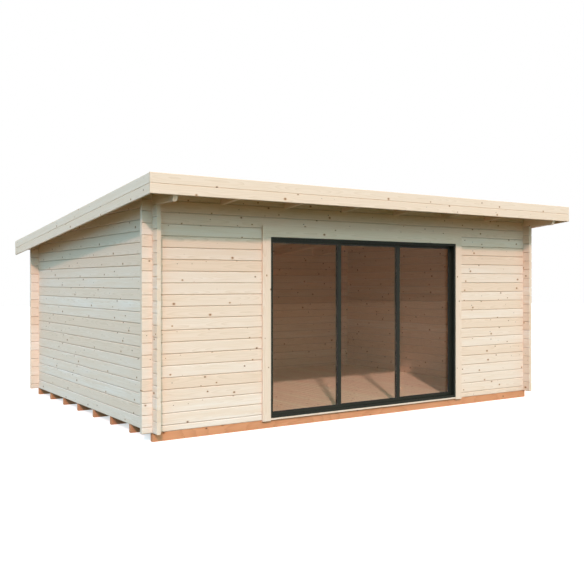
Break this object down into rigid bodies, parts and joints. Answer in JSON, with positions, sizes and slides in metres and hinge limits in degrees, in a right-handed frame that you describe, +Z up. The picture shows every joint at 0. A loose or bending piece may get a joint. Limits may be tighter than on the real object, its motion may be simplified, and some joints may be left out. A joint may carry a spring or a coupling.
{
  "type": "garden house",
  "caption": "Log-built garden house with a mono-pitch roof, high at the front, and a wide glazed sliding door.",
  "frame": {"origin": "on the ground under the middle of the roof's outline", "axes": "+X along the front to the right seen from outside, +Y from the front wall to the back wall, +Z up"},
  "size_m": [5.805, 4.585, 2.4956],
  "materials": {
    "log_spruce": "planed, untreated",
    "board_spruce": "planed, untreated",
    "frame_timber": "planed, untreated",
    "floor_spruce": "planed, untreated",
    "treated_timber": "sawn, pressure treated",
    "roof_rubber": "matt sheet",
    "grey_aluminium": "satin powder coat",
    "tinted_glass": "clear, slightly tinted"
  },
  "bodies": {
    "house": {"foundation_joists": "treated_timber", "floor": "floor_spruce", "front_wall_left": "log_spruce", "front_wall_right": "log_spruce", "front_wall_over_door": "log_spruce", "front_eave_fillers": "log_spruce", "back_wall": "log_spruce", "back_eave_fillers": "log_spruce", "left_wall": "log_spruce", "right_wall": "log_spruce", "left_gable": "log_spruce", "right_gable": "log_spruce", "rafters": "frame_timber", "roof_deck": "board_spruce", "roof_membrane": "roof_rubber", "left_roof_batten": "frame_timber", "right_roof_batten": "frame_timber", "front_fascia_upper": "board_spruce", "front_fascia_lower": "board_spruce", "left_fascia_upper": "board_spruce", "left_fascia_lower": "board_spruce", "right_fascia_upper": "board_spruce", "right_fascia_lower": "board_spruce", "back_fascia": "board_spruce", "door_threshold": "board_spruce", "door_sill": "grey_aluminium", "door_head": "grey_aluminium", "door_jamb_left": "grey_aluminium", "door_jamb_right": "grey_aluminium", "left_panel_frame": "grey_aluminium", "left_panel_glass": "tinted_glass", "door_casing_left": "board_spruce", "door_casing_right": "board_spruce", "door_casing_top": "board_spruce"},
    "middle_panel": {"middle_panel_frame": "grey_aluminium", "middle_panel_glass": "tinted_glass"},
    "right_panel": {"right_panel_frame": "grey_aluminium", "right_panel_glass": "tinted_glass"}
  },
  "joints": [
    {"name": "middle_panel_slide", "type": "slide", "parent": "house", "child": "middle_panel", "axis": [-1, 0, 0], "range_m": [0, 0.853]},
    {"name": "right_panel_slide", "type": "slide", "parent": "house", "child": "right_panel", "axis": [-1, 0, 0], "range_m": [0, 1.739]}
  ]
}
